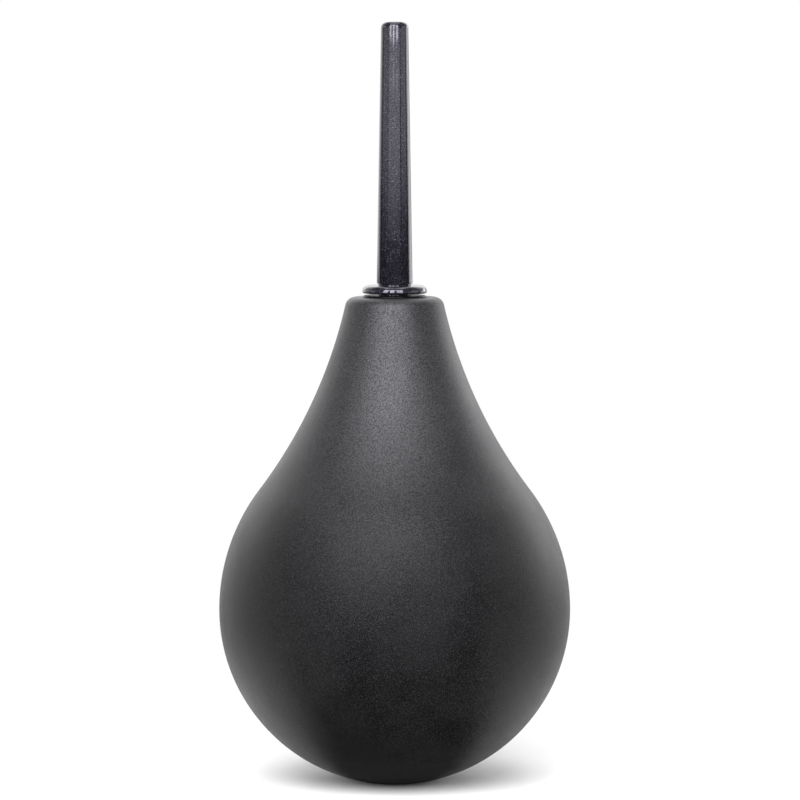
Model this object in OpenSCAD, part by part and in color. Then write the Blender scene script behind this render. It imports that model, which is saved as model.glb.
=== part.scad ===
// Bulb syringe: a soft pear-shaped squeeze bulb with a rigid nozzle that pulls out of its neck.
// Millimetres. The origin is the centre of the foot, and +Z runs up the axis to the nozzle's tip.

/* [Bulb] */
// Widest diameter of the bulb
bulb_d = 88; // [74:0.5:106]
// Height of the bulb, from its foot to the top of its neck
bulb_h = 122; // [101:0.5:147]
// Diameter of the flat foot
foot_d = 10; // [8:0.5:24]
// Thickness of the soft wall
wall = 2.6; // [1.6:0.1:4]
// Radius of the shoulder, the outward curve above the widest line
shoulder_r = 49.5; // [42:0.5:56]
// Radius of the waist, the inward curve between the shoulder and the neck
waist_r = 122; // [100:1:147]
// Diameter of the neck at its top, before the rim is rounded
neck_d = 23.8; // [20:0.1:29]
// Rounding of the neck's rim
rim_r = 2.5; // [1:0.1:3]

/* [Mouth] */
// Depth of the bore in the neck, down to the top of the chamber
mouth_depth = 22; // [20:0.5:26]
// Slope of the chamber's roof, in degrees from level
roof_slope = 35; // [20:1:50]

/* [Neck socket] */
// Outer diameter of the sleeve that sits in the mouth
sleeve_d = 11; // [10.5:0.1:12.5]
// Length of the sleeve below its flange
sleeve_l = 18; // [17:0.5:20]
// Diameter of the flange that lies on the neck
flange_d = 15.5; // [13:0.1:18]
// Thickness of the flange
flange_t = 0.45; // [0.35:0.05:1]
// Rounding of the flange's upper edge
flange_edge_r = 0.2; // [0.1:0.05:0.3]
// How far each barb stands out of the sleeve
barb_h = 0.6; // [0.3:0.1:1]
// Distance from one barb to the next
barb_pitch = 4.5; // [3.5:0.1:5]
// Number of barbs
barbs = 3; // [1:1:3]

/* [Nozzle] */
// Height of the tip above the top of the neck
nozzle_h = 68.5; // [57:0.5:83]
// Diameter of the tube at its base
tube_base_d = 9; // [8.6:0.1:11]
// Diameter of the tube at its tip
tube_tip_d = 6.8; // [6.4:0.1:8.2]
// Rounding of the tip
tip_r = 1.5; // [0.5:0.1:1.6]
// Diameter of the beaded collar
collar_d = 16.2; // [13:0.1:19.5]
// Thickness of the collar
collar_t = 2; // [1.2:0.1:3]
// Rounding of the collar's upper edge, which gives the bead its dome
collar_top_r = 1.6; // [0.8:0.1:2]
// Rounding of the collar's lower edge
collar_bottom_r = 0.4; // [0.1:0.1:0.6]
// Gap between the collar and the flange
collar_gap = 0.5; // [0.1:0.05:1]
// Diameter of the narrow step between the collar and the tube
step_d = 8.3; // [7:0.1:8.5]
// Height of that step
step_h = 0.45; // [0.3:0.05:2]
// Diameter of the stem that fits in the socket
stem_d = 8; // [7.4:0.1:8.6]
// Length of the stem below the flange's upper face
stem_l = 17; // [15:0.5:18.5]
// Chamfer at the foot of the stem
stem_chamfer = 0.6; // [0.2:0.1:0.8]
// Diameter of the channel through the stem and the tube
channel_d = 4; // [3.2:0.1:4.4]
// Diameter of the outlet at the tip
outlet_d = 3; // [1.5:0.1:3.1]
// Length of the outlet's straight bore
outlet_l = 8; // [4:0.5:20]

/* [Seal] */
// Thickness of the seal ring's cord
seal_cord_d = 1.2; // [0.9:0.05:1.3]
// Depth of the seal below the flange's upper face
seal_depth = 9; // [6:0.5:11]

/* [Fits] */
// Clearance on the radius between two pieces that slide or turn on each other
fit = 0.05; // [0.02:0.01:0.1]

/* [Hidden] */
$fn = 96;
arc_step = 9;        // most degrees from one point of an outline's arc to the next
chord = 4;           // longest straight stretch that stands for part of an arc

// Centre and radii of the lower half of the bulb, which is a ball cut off at the foot
bulb_r = bulb_d / 2;
widest_z = sqrt(pow(bulb_r, 2) - pow(foot_d / 2, 2));
shoulder_c = [bulb_r - shoulder_r, widest_z];

// The waist arc is tangent to the shoulder arc and passes through the neck's top edge
neck_edge = [neck_d / 2, bulb_h];
shoulder_to_neck = norm(neck_edge - shoulder_c);
along = (pow(shoulder_r + waist_r, 2) - pow(waist_r, 2) + pow(shoulder_to_neck, 2)) / (2 * shoulder_to_neck);
across = sqrt(pow(shoulder_r + waist_r, 2) - pow(along, 2));
toward = (neck_edge - shoulder_c) / shoulder_to_neck;
waist_c = shoulder_c + along * toward + across * [toward[1], -toward[0]];
shoulder_end = atan2(waist_c[1] - shoulder_c[1], waist_c[0] - shoulder_c[0]);

// The rim's rounding is tangent to the waist arc and to the neck's top face
rim_z = bulb_h - rim_r;
rim_c = [waist_c[0] - sqrt(pow(waist_r + rim_r, 2) - pow(waist_c[1] - rim_z, 2)), rim_z];
rim_start = atan2(waist_c[1] - rim_c[1], waist_c[0] - rim_c[0]);

// Heights of the chamber, the mouth and the socket
flange_top_z = bulb_h + flange_t;
mouth_z = bulb_h - mouth_depth;
mouth_r = sleeve_d / 2 + fit;
sleeve_bottom_z = bulb_h - sleeve_l;
barb_l = barb_pitch / 2;
first_barb_z = sleeve_bottom_z + 1;

// Heights and radii of the nozzle
socket_r = stem_d / 2 + fit;
tip_z = bulb_h + nozzle_h;
collar_z = flange_top_z + collar_gap;
step_z = collar_z + collar_t;
tube_z = step_z + step_h;
stem_z = flange_top_z - stem_l;
outlet_z = tip_z - outlet_l;
channel_narrowing = channel_d - outlet_d;

// The seal just fills the gap between its groove and the socket, less the fit
seal_z = flange_top_z - seal_depth;
seal_outer_r = socket_r - fit;
seal_inner_r = seal_outer_r - seal_cord_d;
groove_r = seal_inner_r - fit;
groove_h = seal_cord_d + 4 * fit;

// Points of an arc from angle a to angle b, both ends included
function arc(centre, r, a, b) =
    let (turn = abs(b - a), n = ceil(max(turn / arc_step, turn * r * PI / 180 / chord)))
    [for (i = [0:n]) centre + r * [cos(a + (b - a) * i / n), sin(a + (b - a) * i / n)]];

// All points of a list but the first, to join one arc to the last point of another
function tail(points) = [for (i = [1:len(points) - 1]) points[i]];

// Outer outline of the bulb, from the foot's edge up to the start of the top face
function bulb_outline() = concat(
    arc(shoulder_c + [shoulder_r - bulb_r, 0], bulb_r, -acos(foot_d / bulb_d), 0),
    tail(arc(shoulder_c, shoulder_r, 0, shoulder_end)),
    tail(arc(waist_c, waist_r, 180 + shoulder_end, 180 + rim_start)),
    tail(arc(rim_c, rim_r, rim_start, 90)));

// Outline of the chamber, the same arcs moved in by the wall
function chamber_outline() = concat(
    arc([0, widest_z], bulb_r - wall, -90, 0),
    tail(arc(shoulder_c, shoulder_r - wall, 0, shoulder_end)),
    tail(arc(waist_c, waist_r + wall, 180 + shoulder_end, 180 + rim_start)),
    [[0, rim_z]]);

// Outline of the sleeve's barbs on a sleeve of radius r: each leads in from below and ends in a ledge
function barb_outline(r) = [for (i = [0:barbs - 1])
    let (z = first_barb_z + i * barb_pitch)
    each [[r, z], [r + barb_h, z + barb_l], [r, z + barb_l]]];

module bulb() {
    color([0.11, 0.11, 0.12])
    difference() {
        rotate_extrude()
            polygon(concat([[0, 0]], bulb_outline(), [[0, bulb_h]]));
        rotate_extrude()
            intersection() {
                polygon(chamber_outline());
                below_roof();
            }
        mouth();
    }
}

// Half section of all that lies under the chamber's sloping roof, which closes it up to the mouth
module below_roof() {
    overrun = 1;
    roof_drop = (bulb_r - mouth_r) * tan(roof_slope);
    polygon([
        [-overrun, -overrun],
        [bulb_r, -overrun],
        [bulb_r, mouth_z - roof_drop],
        [mouth_r, mouth_z],
        [-overrun, mouth_z]]);
}

// Space that the socket takes in the neck, a fit larger than its barbed sleeve
module mouth() {
    overrun = 1;
    rotate_extrude()
        polygon(concat(
            [[0, mouth_z - overrun], [mouth_r, mouth_z - overrun]],
            barb_outline(mouth_r),
            [[mouth_r, bulb_h + overrun], [0, bulb_h + overrun]]));
}

module neck_socket() {
    flange_r = flange_d / 2;
    edge_c = [flange_r - flange_edge_r, flange_top_z - flange_edge_r];
    overrun = 1;
    color([0.03, 0.03, 0.035])
    difference() {
        rotate_extrude()
            polygon(concat(
                [[0, sleeve_bottom_z], [sleeve_d / 2, sleeve_bottom_z]],
                barb_outline(sleeve_d / 2),
                [[sleeve_d / 2, bulb_h], [flange_r, bulb_h]],
                arc(edge_c, flange_edge_r, 0, 90),
                [[0, flange_top_z]]));
        translate([0, 0, sleeve_bottom_z - overrun])
            cylinder(r = socket_r, h = sleeve_l + flange_t + 2 * overrun);
    }
}

module o_ring() {
    color([0.07, 0.07, 0.075])
    translate([0, 0, seal_z])
    rotate_extrude()
        translate([(seal_inner_r + seal_outer_r) / 2, 0])
            circle(d = seal_cord_d);
}

module nozzle() {
    color([0.05, 0.05, 0.06])
    difference() {
        union() {
            stem();
            collar();
            tube();
        }
        channel();
    }
}

// Stem below the collar, with a lead-in chamfer and the seal's groove
module stem() {
    stem_r = stem_d / 2;
    rotate_extrude()
        polygon([
            [0, stem_z],
            [stem_r - stem_chamfer, stem_z],
            [stem_r, stem_z + stem_chamfer],
            [stem_r, seal_z - groove_h / 2],
            [groove_r, seal_z - groove_h / 2],
            [groove_r, seal_z + groove_h / 2],
            [stem_r, seal_z + groove_h / 2],
            [stem_r, collar_z],
            [0, collar_z]]);
}

// Bead with a domed edge, which ends the nozzle's push into the socket, and the narrow step above it
module collar() {
    collar_r = collar_d / 2;
    top_r = min(collar_top_r, collar_t - collar_bottom_r);
    rotate_extrude()
        polygon(concat(
            [[0, collar_z]],
            arc([collar_r - collar_bottom_r, collar_z + collar_bottom_r], collar_bottom_r, -90, 0),
            tail(arc([collar_r - top_r, step_z - top_r], top_r, 0, 90)),
            [[step_d / 2, step_z], [step_d / 2, tube_z], [0, tube_z]]));
}

// Tapered tube with a rounded tip
module tube() {
    taper = atan((tube_base_d - tube_tip_d) / 2 / (tip_z - tube_z));
    rotate_extrude()
        polygon(concat(
            [[0, tube_z], [tube_base_d / 2, tube_z]],
            arc([tube_tip_d / 2 - tip_r, tip_z - tip_r], tip_r, taper, 90),
            [[0, tip_z]]));
}

// Bore right through the nozzle, which narrows to the outlet
module channel() {
    overrun = 1;
    translate([0, 0, stem_z - overrun])
        cylinder(d = channel_d, h = outlet_z - channel_narrowing - stem_z + overrun);
    translate([0, 0, outlet_z - channel_narrowing])
        cylinder(d1 = channel_d, d2 = outlet_d, h = channel_narrowing);
    translate([0, 0, outlet_z])
        cylinder(d = outlet_d, h = outlet_l + overrun);
}

bulb();
neck_socket();
o_ring();
nozzle();
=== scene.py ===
"""Looks of a bulb syringe: a soft matt bulb with a glossy pull-out nozzle, built round its CAD frame.

Lengths are in metres and angles in degrees, unless a name or a comment says otherwise.
"""

import sys

import logging
import math
from dataclasses import dataclass, field
from enum import Enum
from itertools import pairwise
from typing import Sequence

import bmesh
import bpy
from mathutils import Matrix, Vector


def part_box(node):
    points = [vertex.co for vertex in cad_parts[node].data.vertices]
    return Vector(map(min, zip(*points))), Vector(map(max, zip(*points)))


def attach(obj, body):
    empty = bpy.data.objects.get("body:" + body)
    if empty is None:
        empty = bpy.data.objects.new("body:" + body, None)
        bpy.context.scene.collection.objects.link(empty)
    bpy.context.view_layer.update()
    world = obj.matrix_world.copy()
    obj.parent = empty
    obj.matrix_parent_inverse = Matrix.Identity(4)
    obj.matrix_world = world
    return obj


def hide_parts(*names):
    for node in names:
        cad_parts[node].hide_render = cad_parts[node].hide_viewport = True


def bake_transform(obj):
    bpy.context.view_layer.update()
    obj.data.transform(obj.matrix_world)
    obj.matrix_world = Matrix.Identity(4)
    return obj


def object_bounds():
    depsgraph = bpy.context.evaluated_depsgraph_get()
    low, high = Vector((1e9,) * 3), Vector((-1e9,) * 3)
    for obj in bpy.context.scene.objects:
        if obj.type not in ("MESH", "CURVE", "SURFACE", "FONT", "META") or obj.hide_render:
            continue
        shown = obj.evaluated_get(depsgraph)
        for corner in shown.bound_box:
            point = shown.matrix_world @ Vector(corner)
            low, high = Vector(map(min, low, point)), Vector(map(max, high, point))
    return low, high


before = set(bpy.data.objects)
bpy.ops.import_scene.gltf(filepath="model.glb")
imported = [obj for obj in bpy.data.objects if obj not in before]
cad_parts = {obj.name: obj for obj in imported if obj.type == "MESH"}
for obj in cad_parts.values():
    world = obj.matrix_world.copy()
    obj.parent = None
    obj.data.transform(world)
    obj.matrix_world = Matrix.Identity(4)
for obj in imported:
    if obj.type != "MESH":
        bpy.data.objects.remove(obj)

LOG = logging.getLogger("bulb_syringe")
MM = 0.001
ML_IN_CUBIC_METRE = 1e6

Point = tuple[float, float]
Colour = tuple[float, float, float]
Span = tuple[float, float]
Box = tuple[Vector, Vector]
Value = float | int | Colour | tuple | bpy.types.NodeSocket
CAD_BOX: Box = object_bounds()


# ---------------------------------------------------------------- outlines


@dataclass(frozen=True)
class Corner:
    """A corner of a turned outline: its radius, its height, and how far it is rounded."""

    r: float
    z: float
    rounding: float = 0.0


def arc(centre: Point, radius: float, start: float, end: float, spacing: float) -> list[Point]:
    """Points along an arc, both ends included.

    Args:
        centre: Radius and height of the arc's centre.
        radius: Radius of the arc.
        start: Angle of the first point, from level.
        end: Angle of the last point.
        spacing: Longest distance from one point to the next.

    Returns:
        The points, as pairs of radius and height.
    """
    fewest = 4
    turn = math.radians(end - start)
    steps = max(fewest, math.ceil(abs(turn) * radius / spacing))
    angles = [math.radians(start) + turn * i / steps for i in range(steps + 1)]
    return [(centre[0] + radius * math.cos(a), centre[1] + radius * math.sin(a)) for a in angles]


def stretch(start: Point, end: Point, spacing: float) -> list[Point]:
    """Points of a straight stretch between two points, which it leaves out.

    Close to each end it gets a point of its own, which keeps the stretch's shading straight.

    Args:
        start: Point that the stretch leaves.
        end: Point that it reaches.
        spacing: Longest distance from one point to the next.

    Returns:
        The points between the two ends.
    """
    hold = 0.12 * MM
    length = math.dist(start, end)
    if length < 4 * hold:
        return []
    steps = math.ceil((length - 2 * hold) / spacing)
    shares = [(hold + (length - 2 * hold) * i / steps) / length for i in range(steps + 1)]
    return [tuple(Vector(start).lerp(Vector(end), share)) for share in shares]


def round_off(before: Corner, corner: Corner, after: Corner) -> list[Point]:
    """Points of one rounded corner.

    Args:
        before: The corner that the outline comes from.
        corner: The corner to round.
        after: The corner that the outline goes to.

    Returns:
        The points, or the corner alone where it isn't rounded.
    """
    steps = 7
    here = Vector((corner.r, corner.z))
    if corner.rounding == 0.0:
        return [tuple(here)]
    back = (Vector((before.r, before.z)) - here).normalized()
    ahead = (Vector((after.r, after.z)) - here).normalized()
    half = back.angle(ahead) / 2
    centre = here + (back + ahead).normalized() * (corner.rounding / math.sin(half))
    reach = corner.rounding / math.tan(half)
    first = here + back * reach - centre
    last = here + ahead * reach - centre
    sweep = math.atan2(first.cross(last), first.dot(last))
    angles = [math.atan2(first.y, first.x) + sweep * i / steps for i in range(steps + 1)]
    return [
        (centre.x + corner.rounding * math.cos(a), centre.y + corner.rounding * math.sin(a))
        for a in angles
    ]


def through(corners: Sequence[Corner], spacing: float, closed: bool = False) -> list[Point]:
    """An outline through corners, each rounded by its own radius.

    Args:
        corners: The corners in order, with the material on the left.
        spacing: Longest distance between two points of a straight stretch.
        closed: Whether the last corner joins the first, whose point is then repeated.

    Returns:
        The points of the outline.
    """
    count = len(corners)
    turns = [round_off(corners[i - 1], corners[i], corners[(i + 1) % count]) for i in range(count)]
    outline = list(turns[0])
    for turn in [*turns[1:], *([turns[0][:1]] if closed else [])]:
        outline += [*stretch(outline[-1], turn[0], spacing), *turn]
    return outline


# ---------------------------------------------------------------- turning


class TreeKit:
    """Adds nodes to one tree and joins them up."""

    def __init__(self, tree: bpy.types.NodeTree) -> None:
        """Keeps the tree that the nodes go in."""
        self.tree = tree

    def add(
        self, kind: str, inputs: dict[str | int, Value] | None = None, **settings: object
    ) -> bpy.types.Node:
        """Adds one node.

        Args:
            kind: The node's type.
            inputs: What each input gets, by its name or number: a value, or an output to join to it.
            settings: The node's own properties.

        Returns:
            The new node.
        """
        node = self.tree.nodes.new(kind)
        for name, value in settings.items():
            setattr(node, name, value)
        for key, value in (inputs or {}).items():
            self.feed(node, key, value)
        return node

    def feed(self, node: bpy.types.Node, key: str | int, value: Value) -> None:
        """Gives one input of a node its value, or joins an output to it.

        Args:
            node: The node.
            key: Name or number of its input.
            value: A value, or an output of another node.
        """
        socket = node.inputs[key]
        if isinstance(value, bpy.types.NodeSocket):
            self.tree.links.new(value, socket)
        elif isinstance(value, tuple) and len(value) == 3 and socket.type == "RGBA":
            socket.default_value = (*value, 1.0)
        else:
            socket.default_value = value

    def math(self, operation: str, a: Value, b: Value = 0.0, clamp: bool = False) -> bpy.types.NodeSocket:
        """Adds a Math node that works on a and b, and gives its output."""
        return self.add("ShaderNodeMath", {0: a, 1: b}, operation=operation, use_clamp=clamp).outputs[0]

    def ramp(
        self, value: Value, low: float, high: float, to_low: float, to_high: float
    ) -> bpy.types.NodeSocket:
        """Adds a smooth Map Range node: to_low up to low, to_high from high on, and a curve between."""
        inputs = {"Value": value, "From Min": low, "From Max": high, "To Min": to_low, "To Max": to_high}
        return self.add("ShaderNodeMapRange", inputs, interpolation_type="SMOOTHSTEP").outputs["Result"]

    def blend(self, share: Value, a: Value, b: Value) -> bpy.types.NodeSocket:
        """Adds a node that mixes two colours.

        Args:
            share: How much of b the mix holds.
            a: The colour where the share is 0.
            b: The colour where the share is 1.

        Returns:
            The mixed colour.
        """
        node = self.add("ShaderNodeMix", data_type="RGBA")
        shares, firsts, seconds = (
            [s for s in node.inputs if s.name == name and s.enabled] for name in ("Factor", "A", "B")
        )
        for socket, value in ((shares[0], share), (firsts[0], a), (seconds[0], b)):
            self.feed(node, list(node.inputs).index(socket), value)
        return next(s for s in node.outputs if s.enabled)

    def tinted(self, level: bpy.types.NodeSocket, tint: Colour) -> bpy.types.NodeSocket:
        """Adds the nodes that give a level the hue of a tint, which it has in full where it is 1."""
        red, green, blue = (self.math("MULTIPLY", level, share) for share in tint)
        return self.add("ShaderNodeCombineColor", {0: red, 1: green, 2: blue}).outputs[0]


class Lathe:
    """Turns outlines round the Z axis with one node tree, and hands back plain meshes."""

    def __init__(self) -> None:
        """Builds the tree once, for every piece."""
        self.tree = bpy.data.node_groups.new("turned_piece", "GeometryNodeTree")
        self.sockets: dict[str, str] = {}
        self._declare()
        self._fill()

    def _declare(self) -> None:
        """Names the tree's inputs and keeps their identifiers."""
        kinds = {
            "Outline": "NodeSocketObject",
            "Rows": "NodeSocketInt",
            "Segments": "NodeSocketInt",
            "Weld": "NodeSocketFloat",
            "Finish": "NodeSocketMaterial",
        }
        for name, kind in kinds.items():
            socket = self.tree.interface.new_socket(name, in_out="INPUT", socket_type=kind)
            self.sockets[name] = socket.identifier
        self.tree.interface.new_socket("Geometry", in_out="OUTPUT", socket_type="NodeSocketGeometry")

    def _fill(self) -> None:
        """Adds the nodes: a grid rolled up round Z, whose rows each take one point of the outline."""
        kit = TreeKit(self.tree)
        given = kit.add("NodeGroupInput").outputs
        outline = kit.add(
            "GeometryNodeObjectInfo", {"Object": given["Outline"]}, transform_space="ORIGINAL"
        )
        columns = kit.math("ADD", given["Segments"], 1.0)
        grid = kit.add("GeometryNodeMeshGrid", {"Vertices X": columns, "Vertices Y": given["Rows"]})
        index = kit.add("GeometryNodeInputIndex").outputs[0]
        row = kit.math("FLOORED_MODULO", index, given["Rows"])
        column = kit.math("FLOOR", kit.math("DIVIDE", kit.math("ADD", index, 0.5), given["Rows"]))
        point = kit.add(
            "GeometryNodeSampleIndex",
            {
                "Geometry": outline.outputs["Geometry"],
                "Value": kit.add("GeometryNodeInputPosition").outputs[0],
                "Index": row,
            },
            data_type="FLOAT_VECTOR",
            domain="POINT",
        )
        parts = kit.add("ShaderNodeSeparateXYZ", {0: point.outputs[0]}).outputs
        turn = kit.math("MULTIPLY", kit.math("DIVIDE", column, given["Segments"]), math.tau)
        x = kit.math("MULTIPLY", parts["X"], kit.math("COSINE", turn))
        y = kit.math("MULTIPLY", parts["X"], kit.math("SINE", turn))
        place = kit.add("ShaderNodeCombineXYZ", {"X": x, "Y": y, "Z": parts["Z"]})
        rolled = kit.add(
            "GeometryNodeSetPosition", {"Geometry": grid.outputs["Mesh"], "Position": place.outputs[0]}
        )
        welded = kit.add(
            "GeometryNodeMergeByDistance", {"Geometry": rolled.outputs[0], "Distance": given["Weld"]}
        )
        smooth = kit.add(
            "GeometryNodeSetShadeSmooth", {"Geometry": welded.outputs[0], "Shade Smooth": True}
        )
        real = kit.add("GeometryNodeRealizeInstances", {"Geometry": smooth.outputs[0]})
        dressed = kit.add(
            "GeometryNodeSetMaterial", {"Geometry": real.outputs[0], "Material": given["Finish"]}
        )
        kit.add("NodeGroupOutput", {"Geometry": dressed.outputs[0]})

    def turn(
        self, name: str, outline: Sequence[Point], segments: int, finish: bpy.types.Material
    ) -> bpy.types.Object:
        """Turns one outline into a closed piece.

        Args:
            name: Name of the piece.
            outline: Its outline, which either ends on the axis twice or repeats its first point.
            segments: Number of steps round the axis.
            finish: Its material.

        Returns:
            The piece, a plain mesh whose faces point outwards.
        """
        guide_mesh = bpy.data.meshes.new(f"{name}_outline")
        guide_mesh.from_pydata([(r, 0.0, z) for r, z in outline], [], [])
        guide = bpy.data.objects.new(f"{name}_outline", guide_mesh)
        piece = bpy.data.objects.new(name, bpy.data.meshes.new(name))
        for item in (guide, piece):
            bpy.context.scene.collection.objects.link(item)
        modifier = piece.modifiers.new("turned", "NODES")
        modifier.node_group = self.tree
        values = {
            "Outline": guide,
            "Rows": len(outline),
            "Segments": segments,
            "Weld": 0.001 * MM,
            "Finish": finish,
        }
        for socket, value in values.items():
            modifier[self.sockets[socket]] = value
        depsgraph = bpy.context.evaluated_depsgraph_get()
        mesh = bpy.data.meshes.new_from_object(piece.evaluated_get(depsgraph), depsgraph=depsgraph)
        piece.modifiers.clear()
        blank = piece.data
        piece.data = mesh
        bpy.data.meshes.remove(blank)
        mesh.name = name
        bpy.data.objects.remove(guide)
        bpy.data.meshes.remove(guide_mesh)
        self._face_outwards(mesh)
        return piece

    @staticmethod
    def _face_outwards(mesh: bpy.types.Mesh) -> None:
        """Turns all faces of a closed mesh round if they point inwards.

        Args:
            mesh: The mesh, which has one shell.
        """
        form = bmesh.new()
        form.from_mesh(mesh)
        if form.calc_volume(signed=True) < 0:
            bmesh.ops.reverse_faces(form, faces=form.faces)
            form.to_mesh(mesh)
        open_edges = sum(1 for edge in form.edges if not edge.is_manifold)
        volume = form.calc_volume() * ML_IN_CUBIC_METRE
        LOG.info("%s: %.2f ml, %d open edges", mesh.name, volume, open_edges)
        form.free()


# ---------------------------------------------------------------- finishes


class PlasticTone(Enum):
    """Colour of a polished plastic piece."""

    NOZZLE_VIOLET_BLACK = (0.0030, 0.0028, 0.0045)
    SOCKET_BLACK = (0.0020, 0.0020, 0.0024)


@dataclass(frozen=True)
class MattRubber:
    """Soft moulded rubber with a fine matt grain and a trace of dust."""

    base: Colour = (0.0030, 0.0030, 0.0032)
    pale: Colour = (0.0060, 0.0059, 0.0062)
    bloom: Colour = (0.0180, 0.0178, 0.0190)
    dust: Colour = (0.16, 0.155, 0.15)
    roughness: float = 0.48
    mottle_roughness: float = 0.03
    grain_roughness: float = 0.05
    wear_span: Span = (0.3, 0.7)
    grain_size: float = 0.235 * MM
    grain_depth: float = 0.065 * MM
    bloom_span: Span = (0.50, 0.70)
    shine_level: float = 0.74
    shine_tint: Colour = (0.94, 0.93, 1.0)
    pit_shine: float = 0.32
    pit_span: Span = (0.40, 0.58)
    dull_shine: float = 0.23
    dull_below: float = 52 * MM
    bright_above: float = 100 * MM
    mottle_size: float = 14 * MM
    mottle_span: Span = (0.35, 0.65)
    speck_spacing: float = 5 * MM
    speck_size: float = 0.16 * MM
    speck_chance: Span = (0.3, 1.0)
    speck_cover: float = 0.8
    seam_width: float = 0.35 * MM
    seam_height: float = 0.030 * MM

    def make(self) -> bpy.types.Material:
        """Builds the material.

        Returns:
            The new material.
        """
        material = bpy.data.materials.new("matt_bulb_rubber")
        material.use_nodes = True
        kit = TreeKit(material.node_tree)
        shader = material.node_tree.nodes["Principled BSDF"]
        place = kit.add("ShaderNodeTexCoord").outputs["Object"]
        grain = kit.add(
            "ShaderNodeTexNoise",
            {"Vector": place, "Scale": 1 / self.grain_size, "Detail": 2.0, "Roughness": 0.6},
        ).outputs["Fac"]
        mottle = kit.add(
            "ShaderNodeTexNoise",
            {"Vector": place, "Scale": 1 / self.mottle_size, "Detail": 4.0, "Roughness": 0.55},
        ).outputs["Fac"]
        even = kit.blend(kit.ramp(mottle, *self.mottle_span, 0.0, 1.0), self.base, self.pale)
        tone = kit.blend(kit.ramp(grain, *self.bloom_span, 0.0, 1.0), even, self.bloom)
        specks = self._specks(kit, place)
        kit.feed(shader, "Base Color", kit.blend(specks, tone, self.dust))
        smoothest = self.roughness - self.mottle_roughness
        roughest = self.roughness + self.mottle_roughness
        worn = kit.ramp(mottle, *self.wear_span, smoothest, roughest)
        uneven = kit.ramp(grain, *self.wear_span, -self.grain_roughness, self.grain_roughness)
        kit.feed(shader, "Roughness", kit.math("ADD", worn, uneven))
        bump = kit.add(
            "ShaderNodeBump", {"Height": grain, "Strength": 1.0, "Distance": self.grain_depth}
        ).outputs["Normal"]
        line = self._seam(kit, place)
        seam = kit.add(
            "ShaderNodeBump",
            {"Height": line, "Strength": 1.0, "Distance": self.seam_height, "Normal": bump},
        ).outputs["Normal"]
        kit.feed(shader, "Normal", seam)
        kit.feed(shader, "Specular IOR Level", self.shine_level)
        kit.feed(shader, "Specular Tint", self._shine(kit, place, grain))
        kit.feed(shader, "IOR", 1.5)
        return material

    def _shine(
        self, kit: TreeKit, place: bpy.types.NodeSocket, grain: bpy.types.NodeSocket
    ) -> bpy.types.NodeSocket:
        """Adds the shine, which the grain's pits break up, duller on the belly than on the neck.

        Args:
            kit: Kit of the material's tree.
            place: Coordinates on the piece.
            grain: Height of the grain.

        Returns:
            How much of its full shine the rubber has, in the shine's own tint.
        """
        height = kit.add("ShaderNodeSeparateXYZ", {0: place}).outputs["Z"]
        # The shine is full above bright_above and falls to dull_shine below dull_below, so the rubber's
        # highlights are fainter on the belly than on the neck.
        shine_by_height = kit.ramp(height, self.dull_below, self.bright_above, self.dull_shine, 1.0)
        pits = kit.ramp(grain, *self.pit_span, self.pit_shine, 1.0)
        shine = kit.math("MULTIPLY", shine_by_height, pits)
        return kit.tinted(shine, self.shine_tint)

    def _specks(self, kit: TreeKit, place: bpy.types.NodeSocket) -> bpy.types.NodeSocket:
        """Adds the few tiny specks of dust that lie on the rubber.

        Args:
            kit: Kit of the material's tree.
            place: Coordinates on the piece.

        Returns:
            1 on a speck and 0 off it.
        """
        cells = kit.add(
            "ShaderNodeTexVoronoi", {"Vector": place, "Scale": 1 / self.speck_spacing, "Randomness": 1.0}
        ).outputs
        size = self.speck_size / self.speck_spacing
        near = kit.ramp(cells["Distance"], size * 0.5, size, 1.0, 0.0)
        chance = kit.add("ShaderNodeSeparateColor", {0: cells["Color"]}).outputs[0]
        return kit.math("MULTIPLY", near, kit.ramp(chance, *self.speck_chance, 0.0, self.speck_cover))

    def _seam(self, kit: TreeKit, place: bpy.types.NodeSocket) -> bpy.types.NodeSocket:
        """Adds the mould's faint line, in the plane of X and Z, as 1 on the line and 0 off it."""
        across = kit.math("ABSOLUTE", kit.add("ShaderNodeSeparateXYZ", {0: place}).outputs["Y"])
        return kit.ramp(across, 0.0, self.seam_width / 2, 1.0, 0.0)


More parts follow.
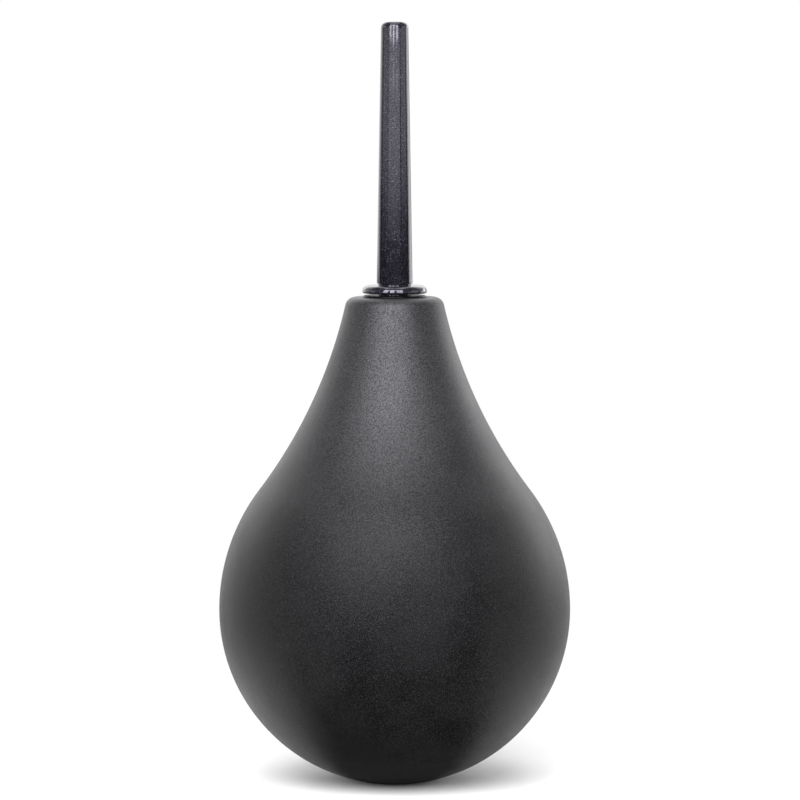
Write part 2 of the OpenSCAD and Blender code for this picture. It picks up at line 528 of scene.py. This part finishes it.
@dataclass(frozen=True)
class PolishedPlastic:
    """Glossy moulded plastic with faint flow lines along the axis, light wear in its roughness, and pale
    specks that are partly wear and partly painted glints.
    """

    tone: PlasticTone
    name: str
    speck_and_glint: Colour = (0.046, 0.044, 0.054)
    shine: Colour = (0.86, 0.85, 1.0)
    shine_level: float = 0.70
    scuff_shine: float = 0.50
    glint_speck_size: float = 0.26 * MM
    glint_speck_span: Span = (0.56, 0.70)
    pit_span: Span = (0.38, 0.58)
    roughness: float = 0.05
    flow_width: float = 1.6 * MM
    flow_stretch: float = 0.03
    flow_depth: float = 0.012 * MM
    flow_span: Span = (0.4, 0.6)
    flow_roughness: float = 0.015
    ripple_size: float = 0.5 * MM
    ripple_depth: float = 0.0006 * MM
    cloud_size: float = 6.0 * MM
    cloud_span: Span = (0.35, 0.65)
    cloud_lift: float = 1.5
    wear_span: Span = (0.35, 0.7)
    roughness_change: Span = (-0.02, 0.04)

    def make(self) -> bpy.types.Material:
        """Builds the material.

        Returns:
            The new material.
        """
        material = bpy.data.materials.new(self.name)
        material.use_nodes = True
        kit = TreeKit(material.node_tree)
        shader = material.node_tree.nodes["Principled BSDF"]
        place = kit.add("ShaderNodeTexCoord").outputs["Object"]
        drawn = kit.add("ShaderNodeMapping", {"Vector": place, "Scale": (1.0, 1.0, self.flow_stretch)})
        flow = kit.add(
            "ShaderNodeTexNoise",
            {"Vector": drawn.outputs[0], "Scale": 1 / self.flow_width, "Detail": 2.0, "Roughness": 0.5},
        ).outputs["Fac"]
        ripple = kit.add(
            "ShaderNodeTexNoise", {"Vector": place, "Scale": 1 / self.ripple_size, "Detail": 2.0}
        ).outputs["Fac"]
        cloud = kit.add(
            "ShaderNodeTexNoise", {"Vector": place, "Scale": 1 / self.cloud_size, "Detail": 3.0}
        ).outputs["Fac"]
        speck_field = kit.add(
            "ShaderNodeTexNoise",
            {"Vector": place, "Scale": 1 / self.glint_speck_size, "Detail": 2.0, "Roughness": 0.6},
        ).outputs["Fac"]
        base = self.tone.value
        pale = tuple(self.cloud_lift * c for c in base)
        even = kit.blend(kit.ramp(cloud, *self.cloud_span, 0.0, 1.0), base, pale)
        # Pale specks in the base colour: partly fine wear, partly painted glints of light on the gloss.
        glint_specks = kit.ramp(speck_field, *self.glint_speck_span, 0.0, 1.0)
        kit.feed(shader, "Base Color", kit.blend(glint_specks, even, self.speck_and_glint))
        smoothest, roughest = (self.roughness + change for change in self.roughness_change)
        worn = kit.ramp(cloud, *self.wear_span, smoothest, roughest)
        uneven = kit.ramp(flow, *self.flow_span, -self.flow_roughness, self.flow_roughness)
        kit.feed(shader, "Roughness", kit.math("ADD", worn, uneven))
        lines = kit.add("ShaderNodeBump", {"Height": flow, "Strength": 1.0, "Distance": self.flow_depth})
        skin = kit.add(
            "ShaderNodeBump",
            {"Height": ripple, "Strength": 1.0, "Distance": self.ripple_depth, "Normal": lines.outputs[0]},
        )
        kit.feed(shader, "Normal", skin.outputs[0])
        kit.feed(shader, "IOR", 1.52)
        kit.feed(shader, "Specular IOR Level", self.shine_level)
        pits = kit.ramp(speck_field, *self.pit_span, self.scuff_shine, 1.0)
        kit.feed(shader, "Specular Tint", kit.tinted(pits, self.shine))
        return material


@dataclass(frozen=True)
class GreasedRubber:
    """Smooth black seal rubber under a patchy film of grease."""

    base: Colour = (0.010, 0.010, 0.011)
    pale: Colour = (0.020, 0.020, 0.021)
    film_size: float = 2.5 * MM
    film_span: Span = (0.4, 0.6)
    wear_span: Span = (0.35, 0.65)
    roughness_range: Span = (0.18, 0.42)
    grain_size: float = 0.2 * MM
    grain_depth: float = 0.004 * MM

    def make(self) -> bpy.types.Material:
        """Builds the material.

        Returns:
            The new material.
        """
        material = bpy.data.materials.new("greased_seal_rubber")
        material.use_nodes = True
        kit = TreeKit(material.node_tree)
        shader = material.node_tree.nodes["Principled BSDF"]
        place = kit.add("ShaderNodeTexCoord").outputs["Object"]
        film = kit.add(
            "ShaderNodeTexNoise", {"Vector": place, "Scale": 1 / self.film_size, "Detail": 3.0}
        ).outputs["Fac"]
        grain = kit.add(
            "ShaderNodeTexNoise", {"Vector": place, "Scale": 1 / self.grain_size, "Detail": 1.0}
        ).outputs["Fac"]
        patches = kit.ramp(film, *self.film_span, 0.0, 1.0)
        kit.feed(shader, "Base Color", kit.blend(patches, self.base, self.pale))
        kit.feed(shader, "Roughness", kit.ramp(film, *self.wear_span, *self.roughness_range))
        bump = kit.add("ShaderNodeBump", {"Height": grain, "Strength": 1.0, "Distance": self.grain_depth})
        kit.feed(shader, "Normal", bump.outputs[0])
        kit.feed(shader, "IOR", 1.5)
        return material


# ---------------------------------------------------------------- pieces


@dataclass(frozen=True)
class Barbs:
    """The saw-toothed rings that hold the socket in the rubber neck, alike on sleeve and mouth."""

    offset: float = 1.0 * MM
    pitch: float = 4.5 * MM
    height: float = 0.6 * MM
    count: int = 3
    rounding: float = 0.06 * MM

    def corners(self, radius: float, sleeve_end: float) -> list[Corner]:
        """Corners of the teeth, from the lowest up.

        Args:
            radius: Radius that the teeth stand on.
            sleeve_end: Height of the sleeve's lower end.

        Returns:
            Three corners for each tooth: its foot, its point, and the inner end of its ledge.
        """
        corners: list[Corner] = []
        for i in range(self.count):
            foot = sleeve_end + self.offset + i * self.pitch
            ledge = foot + self.pitch / 2
            corners += [
                Corner(radius, foot, self.rounding),
                Corner(radius + self.height, ledge, self.rounding),
                Corner(radius, ledge, self.rounding),
            ]
        return corners


@dataclass
class SqueezeBulb:
    """The hollow rubber bulb: a ball with a flat foot that draws in to a neck with a barbed mouth."""

    lathe: Lathe
    finish: MattRubber = field(default_factory=MattRubber)
    barbs: Barbs = field(default_factory=Barbs)
    foot_r: float = 5.0 * MM
    shoulder_r: float = 49.5 * MM
    waist_r: float = 122.0 * MM
    neck_r: float = 11.9 * MM
    rim_r: float = 2.5 * MM
    wall: float = 2.6 * MM
    mouth_depth: float = 22.0 * MM
    mouth_r: float = 5.55 * MM
    mouth_rounding: float = 0.3 * MM
    roof_slope: float = 35.0
    held_foot: float = 20.0 * MM
    held_neck: float = 27.0 * MM
    segments: int = 224
    spacing: float = 1.3 * MM
    rim_spacing: float = 0.25 * MM

    def __post_init__(self) -> None:
        """Works out the arcs of the outline from the CAD node's box."""
        low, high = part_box("bulb")
        self.radius = (high.x - low.x) / 2
        self.foot_z = low.z
        self.top_z = high.z
        self.ball_c = Vector((0.0, self.foot_z + math.sqrt(self.radius**2 - self.foot_r**2)))
        self.shoulder_c = self.ball_c + Vector((self.radius - self.shoulder_r, 0.0))
        edge = Vector((self.neck_r, self.top_z)) - self.shoulder_c
        reach = self.shoulder_r + self.waist_r
        along = (reach**2 - self.waist_r**2 + edge.length_squared) / (2 * edge.length)
        across = math.sqrt(reach**2 - along**2)
        toward = edge.normalized()
        self.waist_c = self.shoulder_c + along * toward + across * Vector((toward.y, -toward.x))
        self.shoulder_end = self._angle(self.waist_c - self.shoulder_c)
        rim_z = self.top_z - self.rim_r
        level = math.sqrt((self.waist_r + self.rim_r) ** 2 - (self.waist_c.y - rim_z) ** 2)
        self.rim_c = Vector((self.waist_c.x - level, rim_z))
        self.rim_start = self._angle(self.waist_c - self.rim_c)

    @staticmethod
    def _angle(line: Vector) -> float:
        """Angle of a line from level."""
        return math.degrees(math.atan2(line.y, line.x))

    def skin(self) -> list[Point]:
        """Outline of the outside.

        Returns:
            Its points, from the middle of the foot up to the end of the rim's rounding.
        """
        foot_angle = -math.degrees(math.acos(self.foot_r / self.radius))
        foot = [(0.0, self.foot_z), *stretch((0.0, self.foot_z), (self.foot_r, self.foot_z), self.spacing)]
        ball = arc(self.ball_c, self.radius, foot_angle, 0.0, self.spacing)
        shoulder = arc(self.shoulder_c, self.shoulder_r, 0.0, self.shoulder_end, self.spacing)
        waist = arc(self.waist_c, self.waist_r, 180 + self.shoulder_end, 180 + self.rim_start, self.spacing)
        rim = arc(self.rim_c, self.rim_r, self.rim_start, 90.0, self.rim_spacing)
        return [*foot, *ball, *shoulder[1:], *waist[1:], *rim[1:]]

    def mouth(self) -> list[Point]:
        """Outline of the top face and of the barbed mouth.

        Returns:
            Its points, down to the edge of the chamber's roof.
        """
        sleeve_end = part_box("neck_socket")[0].z
        start = Corner(self.rim_c.x, self.top_z)
        lip = Corner(self.mouth_r, self.top_z, self.mouth_rounding)
        teeth = self.barbs.corners(self.mouth_r, sleeve_end)[::-1]
        end = Corner(self.mouth_r, self.top_z - self.mouth_depth)
        return through([start, lip, *teeth, end], 2 * self.spacing)

    def chamber(self) -> list[Point]:
        """Outline of the chamber.

        Returns:
            Its points, from the upper end of its roof down to the axis.
        """
        spacing = 2.5 * self.spacing
        waist_start = 180 + self.shoulder_end
        inside = [
            *arc(self.ball_c, self.radius - self.wall, -90.0, 0.0, spacing),
            *arc(self.shoulder_c, self.shoulder_r - self.wall, 0.0, self.shoulder_end, spacing)[1:],
            *arc(self.waist_c, self.waist_r + self.wall, waist_start, 180 + self.rim_start, spacing)[1:],
        ]
        start = (self.mouth_r, self.top_z - self.mouth_depth)
        fall = math.tan(math.radians(self.roof_slope))

        def headroom(point: Point) -> float:
            """Height of the roof over a point."""
            return start[1] - (point[0] - start[0]) * fall - point[1]

        under = [point for point in inside if headroom(point) > 0]
        after = inside[len(under)]
        share = headroom(under[-1]) / (headroom(under[-1]) - headroom(after))
        eave = tuple(Vector(under[-1]).lerp(Vector(after), share))
        return [*stretch(start, eave, spacing), eave, *under[::-1][:-1], (0.0, inside[0][1])]

    def build(self) -> list[bpy.types.Object]:
        """Turns the bulb.

        Returns:
            The one piece.
        """
        outline = [*self.skin(), *self.mouth()[1:], *self.chamber()]
        piece = self.lathe.turn("bulb_skin", outline, self.segments, self.finish.make())
        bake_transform(piece)
        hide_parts("bulb")
        return [piece]


@dataclass
class NeckSocket:
    """The plastic sleeve in the neck, with barbs outside and a flange that lies on the rubber."""

    lathe: Lathe
    finish: PolishedPlastic = PolishedPlastic(
        PlasticTone.SOCKET_BLACK,
        "moulded_socket_plastic",
        # The socket's pale specks, partly wear and partly painted glints, are kept faint.
        speck_and_glint=(0.012, 0.012, 0.014),
        shine_level=0.12,
        roughness=0.25,
    )
    barbs: Barbs = field(default_factory=Barbs)
    sleeve_r: float = 5.5 * MM
    bore_r: float = 4.05 * MM
    edge_rounding: float = 0.2 * MM
    lip_rounding: float = 0.12 * MM
    spacing: float = 3 * MM
    segments: int = 144

    def build(self) -> list[bpy.types.Object]:
        """Turns the socket.

        Returns:
            The one piece.
        """
        low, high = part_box("neck_socket")
        flange_r = (high.x - low.x) / 2
        neck_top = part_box("bulb")[1].z
        small = self.lip_rounding / 2
        corners = [
            Corner(self.bore_r, low.z, small),
            Corner(self.sleeve_r, low.z, small),
            *self.barbs.corners(self.sleeve_r, low.z),
            Corner(self.sleeve_r, neck_top, small),
            Corner(flange_r, neck_top, small),
            Corner(flange_r, high.z, self.edge_rounding),
            Corner(self.bore_r, high.z, self.lip_rounding),
        ]
        outline = through(corners, self.spacing, closed=True)
        piece = self.lathe.turn("socket_sleeve", outline, self.segments, self.finish.make())
        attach(piece, "neck")
        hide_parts("neck_socket")
        return [piece]


@dataclass
class SealRing:
    """The round-cord rubber ring that seals the nozzle's stem in the socket."""

    lathe: Lathe
    finish: GreasedRubber = field(default_factory=GreasedRubber)
    segments: int = 120
    cord_points: int = 28

    def build(self) -> list[bpy.types.Object]:
        """Turns the ring.

        Returns:
            The one piece.
        """
        low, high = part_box("o_ring")
        cord_r = (high.z - low.z) / 2
        centre = (high.x - cord_r, low.z + cord_r)
        outline = arc(centre, cord_r, 0.0, 360.0, math.tau * cord_r / self.cord_points)
        piece = self.lathe.turn("seal_ring", outline, self.segments, self.finish.make())
        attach(piece, "seal")
        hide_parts("o_ring")
        return [piece]


@dataclass
class TurnedNozzle:
    """The plastic nozzle: stem with the seal's groove, domed collar, and tapered tube with a channel."""

    lathe: Lathe
    finish: PolishedPlastic = PolishedPlastic(PlasticTone.NOZZLE_VIOLET_BLACK, "polished_nozzle_plastic")
    stem_r: float = 4.0 * MM
    stem_chamfer: float = 0.6 * MM
    groove_r: float = 2.75 * MM
    groove_h: float = 1.4 * MM
    collar_gap: float = 0.5 * MM
    collar_t: float = 2.0 * MM
    collar_top_r: float = 1.6 * MM
    collar_bottom_r: float = 0.4 * MM
    step_r: float = 4.15 * MM
    step_h: float = 0.45 * MM
    tube_base_r: float = 4.5 * MM
    tube_tip_r: float = 3.4 * MM
    tip_rounding: float = 1.5 * MM
    channel_r: float = 2.0 * MM
    outlet_r: float = 1.5 * MM
    outlet_l: float = 8.0 * MM
    fine: float = 0.08 * MM
    spacing: float = 3.5 * MM
    segments: int = 160

    def corners(self) -> list[Corner]:
        """Corners of the outline.

        Returns:
            The corners, from the stem's lower end up the outside and down the channel.
        """
        low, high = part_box("nozzle")
        seal_low, seal_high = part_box("o_ring")
        seal_z = (seal_low.z + seal_high.z) / 2
        collar_r = (high.x - low.x) / 2
        collar_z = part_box("neck_socket")[1].z + self.collar_gap
        step_z = collar_z + self.collar_t
        tube_z = step_z + self.step_h
        narrow_z = high.z - self.outlet_l
        narrowing = 2 * (self.channel_r - self.outlet_r)
        groove = (seal_z - self.groove_h / 2, seal_z + self.groove_h / 2)
        return [
            Corner(self.channel_r, low.z, self.fine),
            Corner(self.stem_r - self.stem_chamfer, low.z, self.fine),
            Corner(self.stem_r, low.z + self.stem_chamfer, self.fine),
            Corner(self.stem_r, groove[0], self.fine),
            Corner(self.groove_r, groove[0], self.fine),
            Corner(self.groove_r, groove[1], self.fine),
            Corner(self.stem_r, groove[1], self.fine),
            Corner(self.stem_r, collar_z, self.fine),
            Corner(collar_r, collar_z, self.collar_bottom_r),
            Corner(collar_r, step_z, self.collar_top_r),
            Corner(self.step_r, step_z, self.fine),
            Corner(self.step_r, tube_z, self.fine),
            Corner(self.tube_base_r, tube_z, self.fine),
            Corner(self.tube_tip_r, high.z, self.tip_rounding),
            Corner(self.outlet_r, high.z, 2 * self.fine),
            Corner(self.outlet_r, narrow_z),
            Corner(self.channel_r, narrow_z - narrowing),
        ]

    def build(self) -> list[bpy.types.Object]:
        """Turns the nozzle.

        Returns:
            The one piece.
        """
        outline = through(self.corners(), self.spacing, closed=True)
        piece = self.lathe.turn("nozzle_tube", outline, self.segments, self.finish.make())
        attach(piece, "nozzle")
        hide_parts("nozzle")
        return [piece]


# ---------------------------------------------------------------- studio


@dataclass(frozen=True)
class Panel:
    """A flat lit panel that faces the object.

    Its azimuth is measured from the camera's side towards the right, as seen by the camera. At a
    brightness of 1 it looks as white as the surroundings.
    """

    name: str
    azimuth: float
    elevation: float
    distance: float
    width: float
    height: float
    brightness: float


@dataclass
class Studio:
    """Pale floor, soft panels, black cloth for reflections, plain white surroundings, and the camera."""

    target: tuple[float, float, float] = (1.33 * MM, 0.0, 96.2 * MM)
    camera_distance: float = 1.103
    camera_elevation: float = 4.4
    lens_mm: float = 198.5
    sensor_mm: float = 36.0
    floor_radius: float = 4.0
    floor_sides: int = 96
    floor_gap: float = 0.02 * MM
    floor_tone: Colour = (0.86, 0.86, 0.86)
    fade: Span = (0.05, 0.20)
    room_light: float = 0.20
    card_start: float = 5 * MM
    card_near: float = 0.5
    card_reach: float = 1.1
    card_rim: float = 0.19
    card_wedge: float = 60.0
    card_spread: float = 104.0
    card_edge: Span = (0.105, 0.185)
    card_foot: Span = (10 * MM, 40 * MM)
    card_foot_clear: float = 0.25
    cloth_height: float = 0.2 * MM
    cloth_tone: Colour = (0.02, 0.02, 0.02)
    cloth_steps: int = 24
    thinning: Span = (1.3, 2.3)
    net_reach: float = 2.4
    net_top: float = 3.6
    net_spread: float = 112.0
    net_clear: float = 0.4
    roof_start: float = 0.1
    roof_reach: float = 4.0
    panels: tuple[Panel, ...] = (
        Panel("left_strip", -34.0, 30.7, 1.2, 0.36, 1.10, 9.6),
        Panel("middle_strip", -9.0, 30.7, 1.2, 0.32, 1.10, 10.8),
        Panel("right_strip", 19.0, 30.7, 1.2, 0.42, 1.10, 8.6),
        Panel("front_fill", -1.0, 2.4, 1.6, 2.80, 0.22, 1.95),
        Panel("left_low_fill", -68.0, 2.4, 1.6, 1.70, 0.22, 0.95),
        Panel("right_low_fill", 70.0, 2.4, 1.6, 1.30, 0.22, 1.20),
        Panel("left_side", -98.0, 18.0, 1.2, 0.90, 0.25, 1.25),
        Panel("right_side", 82.0, 18.0, 1.2, 0.70, 0.25, 1.8),
        Panel("left_wing", -141.0, 9.0, 1.2, 0.75, 0.40, 0.90),
        Panel("right_wing", 124.0, 5.0, 1.2, 0.80, 0.27, 2.30),
        Panel("right_glow", 135.0, 15.0, 1.2, 0.42, 0.26, 3.7),
        Panel("back_panel", 180.0, 36.0, 1.2, 1.70, 1.00, 1.5),
        Panel("top_panel", 180.0, 80.0, 1.2, 0.80, 0.60, 3.0),
    )

    def build(self) -> None:
        """Sets up everything round the object."""
        self._world()
        self._floor()
        self._dark_card()
        for panel in self.panels:
            self._light(panel)
        self._camera()
        bpy.context.scene.view_settings.view_transform = "Standard"

    @staticmethod
    def _direction(azimuth: float, elevation: float) -> Vector:
        """Direction from the object, with azimuth from the camera's side towards the right."""
        a, e = math.radians(azimuth), math.radians(elevation)
        return Vector((math.sin(a) * math.cos(e), -math.cos(a) * math.cos(e), math.sin(e)))

    @staticmethod
    def _seen(kit: TreeKit) -> bpy.types.NodeSocket:
        """Adds nodes that pick out the rays that show the background.

        Args:
            kit: Kit of the tree.

        Returns:
            1 on a ray that is seen, mirrored or let through, and 0 on any other.
        """
        rays = kit.add("ShaderNodeLightPath").outputs
        mirrored = kit.math("MAXIMUM", rays["Is Glossy Ray"], rays["Is Transmission Ray"])
        return kit.math("MAXIMUM", rays["Is Camera Ray"], mirrored)

    def _world(self) -> None:
        """Makes the surroundings white to look at, and lights the object with a plain part of that."""
        world = bpy.data.worlds.new("white_room")
        bpy.context.scene.world = world
        world.use_nodes = True
        kit = TreeKit(world.node_tree)
        background = world.node_tree.nodes["Background"]
        kit.feed(background, "Color", (1.0, 1.0, 1.0))
        kit.feed(background, "Strength", kit.ramp(self._seen(kit), 0.0, 1.0, self.room_light, 1.0))

    def _floor(self) -> None:
        """Lays the round floor, which turns into the white surroundings away from the object."""
        form = bmesh.new()
        bmesh.ops.create_circle(form, cap_ends=True, segments=self.floor_sides, radius=self.floor_radius)
        mesh = bpy.data.meshes.new("floor")
        form.to_mesh(mesh)
        form.free()
        mesh.transform(Matrix.Translation((0.0, 0.0, CAD_BOX[0].z - self.floor_gap)))
        floor = bpy.data.objects.new("floor", mesh)
        bpy.context.scene.collection.objects.link(floor)
        material = bpy.data.materials.new("pale_floor")
        material.use_nodes = True
        kit = TreeKit(material.node_tree)
        nodes = material.node_tree.nodes
        nodes.remove(nodes["Principled BSDF"])
        place = kit.add("ShaderNodeTexCoord").outputs["Object"]
        away = kit.add("ShaderNodeVectorMath", {0: place}, operation="LENGTH").outputs["Value"]
        far = kit.math("MULTIPLY", kit.ramp(away, *self.fade, 0.0, 1.0), self._seen(kit))
        paper = kit.add("ShaderNodeBsdfDiffuse", {"Color": self.floor_tone}).outputs[0]
        white = kit.add("ShaderNodeEmission", {"Color": (1.0, 1.0, 1.0), "Strength": 1.0}).outputs[0]
        mix = kit.add("ShaderNodeMixShader", {0: far, 1: paper, 2: white}).outputs[0]
        kit.feed(nodes["Material Output"], "Surface", mix)
        mesh.materials.append(material)

    def _dark_card(self) -> None:
        """Sets up black cloth that only reflections show: a low card in front, and a roofed net round it."""
        form = bmesh.new()
        flat = self.cloth_height
        rim = (self.card_reach, self.card_rim)
        self._sweep(form, self.card_wedge, [(self.card_start, flat), (self.card_near, flat)])
        self._sweep(form, self.card_spread, [(self.card_near, flat), (self.card_reach, flat), rim])
        self._sweep(form, self.net_spread, [(self.net_reach, flat), (self.net_reach, self.net_top)])
        self._sweep(form, 180.0, [(self.roof_start, self.net_top), (self.roof_reach, self.net_top)])
        mesh = bpy.data.meshes.new("dark_card")
        form.to_mesh(mesh)
        form.free()
        card = bpy.data.objects.new("dark_card", mesh)
        bpy.context.scene.collection.objects.link(card)
        mesh.materials.append(self._black_cloth())
        card.visible_camera = False
        card.visible_diffuse = False
        card.visible_transmission = False
        card.visible_shadow = False

    def _black_cloth(self) -> bpy.types.Material:
        """Makes the black cloth: thick low down, thinner up the card's rim and by the foot, thin as a net.

        Returns:
            The new material.
        """
        material = bpy.data.materials.new("black_cloth")
        material.use_nodes = True
        kit = TreeKit(material.node_tree)
        nodes = material.node_tree.nodes
        nodes.remove(nodes["Principled BSDF"])
        place = kit.add("ShaderNodeTexCoord").outputs["Object"]
        height = kit.add("ShaderNodeSeparateXYZ", {0: place}).outputs["Z"]
        away = kit.add("ShaderNodeVectorMath", {0: place}, operation="LENGTH").outputs["Value"]
        by_foot = kit.ramp(away, *self.card_foot, self.card_foot_clear, 0.0)
        most = kit.ramp(away, *self.thinning, 1.0, self.net_clear)
        up_rim = kit.math("MINIMUM", kit.ramp(height, *self.card_edge, 0.0, 1.0), most)
        clear = kit.math("MAXIMUM", up_rim, by_foot)
        black = kit.add("ShaderNodeBsdfDiffuse", {"Color": self.cloth_tone}).outputs[0]
        nothing = kit.add("ShaderNodeBsdfTransparent").outputs[0]
        mix = kit.add("ShaderNodeMixShader", {0: clear, 1: black, 2: nothing}).outputs[0]
        kit.feed(nodes["Material Output"], "Surface", mix)
        return material

    def _sweep(self, form: bmesh.types.BMesh, spread: float, outline: Sequence[Point]) -> None:
        """Sweeps an outline round the object, from one side of the camera to the other.

        Args:
            form: Mesh that gets the faces.
            spread: How far to each side of the camera it reaches.
            outline: Distances and heights.
        """
        steps = self.cloth_steps
        rows = []
        for radius, height in outline:
            ways = [self._direction(-spread + 2 * spread * i / steps, 0.0) for i in range(steps + 1)]
            rows.append([form.verts.new((way.x * radius, way.y * radius, height)) for way in ways])
        for inner, outer in pairwise(rows):
            for (a, b), (c, d) in zip(pairwise(inner), pairwise(outer)):
                form.faces.new((a, c, d, b))

    def _light(self, panel: Panel) -> None:
        """Hangs one panel.

        Args:
            panel: Its place, size and brightness.
        """
        lamp = bpy.data.lights.new(panel.name, "AREA")
        lamp.shape = "RECTANGLE"
        lamp.size = panel.width
        lamp.size_y = panel.height
        lamp.energy = math.pi * panel.width * panel.height * panel.brightness
        way = self._direction(panel.azimuth, panel.elevation)
        item = bpy.data.objects.new(panel.name, lamp)
        item.location = Vector(self.target) + way * panel.distance
        item.rotation_euler = way.to_track_quat("Z", "Y").to_euler()
        item.visible_camera = False
        bpy.context.scene.collection.objects.link(item)

    def _camera(self) -> None:
        """Places the camera."""
        data = bpy.data.cameras.new("camera")
        data.lens = self.lens_mm
        data.sensor_width = self.sensor_mm
        camera = bpy.data.objects.new("camera", data)
        way = self._direction(0.0, self.camera_elevation)
        camera.location = Vector(self.target) + way * self.camera_distance
        camera.rotation_euler = way.to_track_quat("Z", "Y").to_euler()
        bpy.context.scene.collection.objects.link(camera)
        bpy.context.scene.camera = camera


def main() -> None:
    """Builds the pieces and the studio round them."""
    logging.basicConfig(level=logging.INFO, format="%(name)s: %(message)s", stream=sys.stdout)
    lathe = Lathe()
    for part in (SqueezeBulb(lathe), NeckSocket(lathe), SealRing(lathe), TurnedNozzle(lathe)):
        for piece in part.build():
            LOG.info("%s: %s, %d faces", type(part).__name__, piece.name, len(piece.data.polygons))
    Studio().build()


if __name__ == "__main__":
    main()
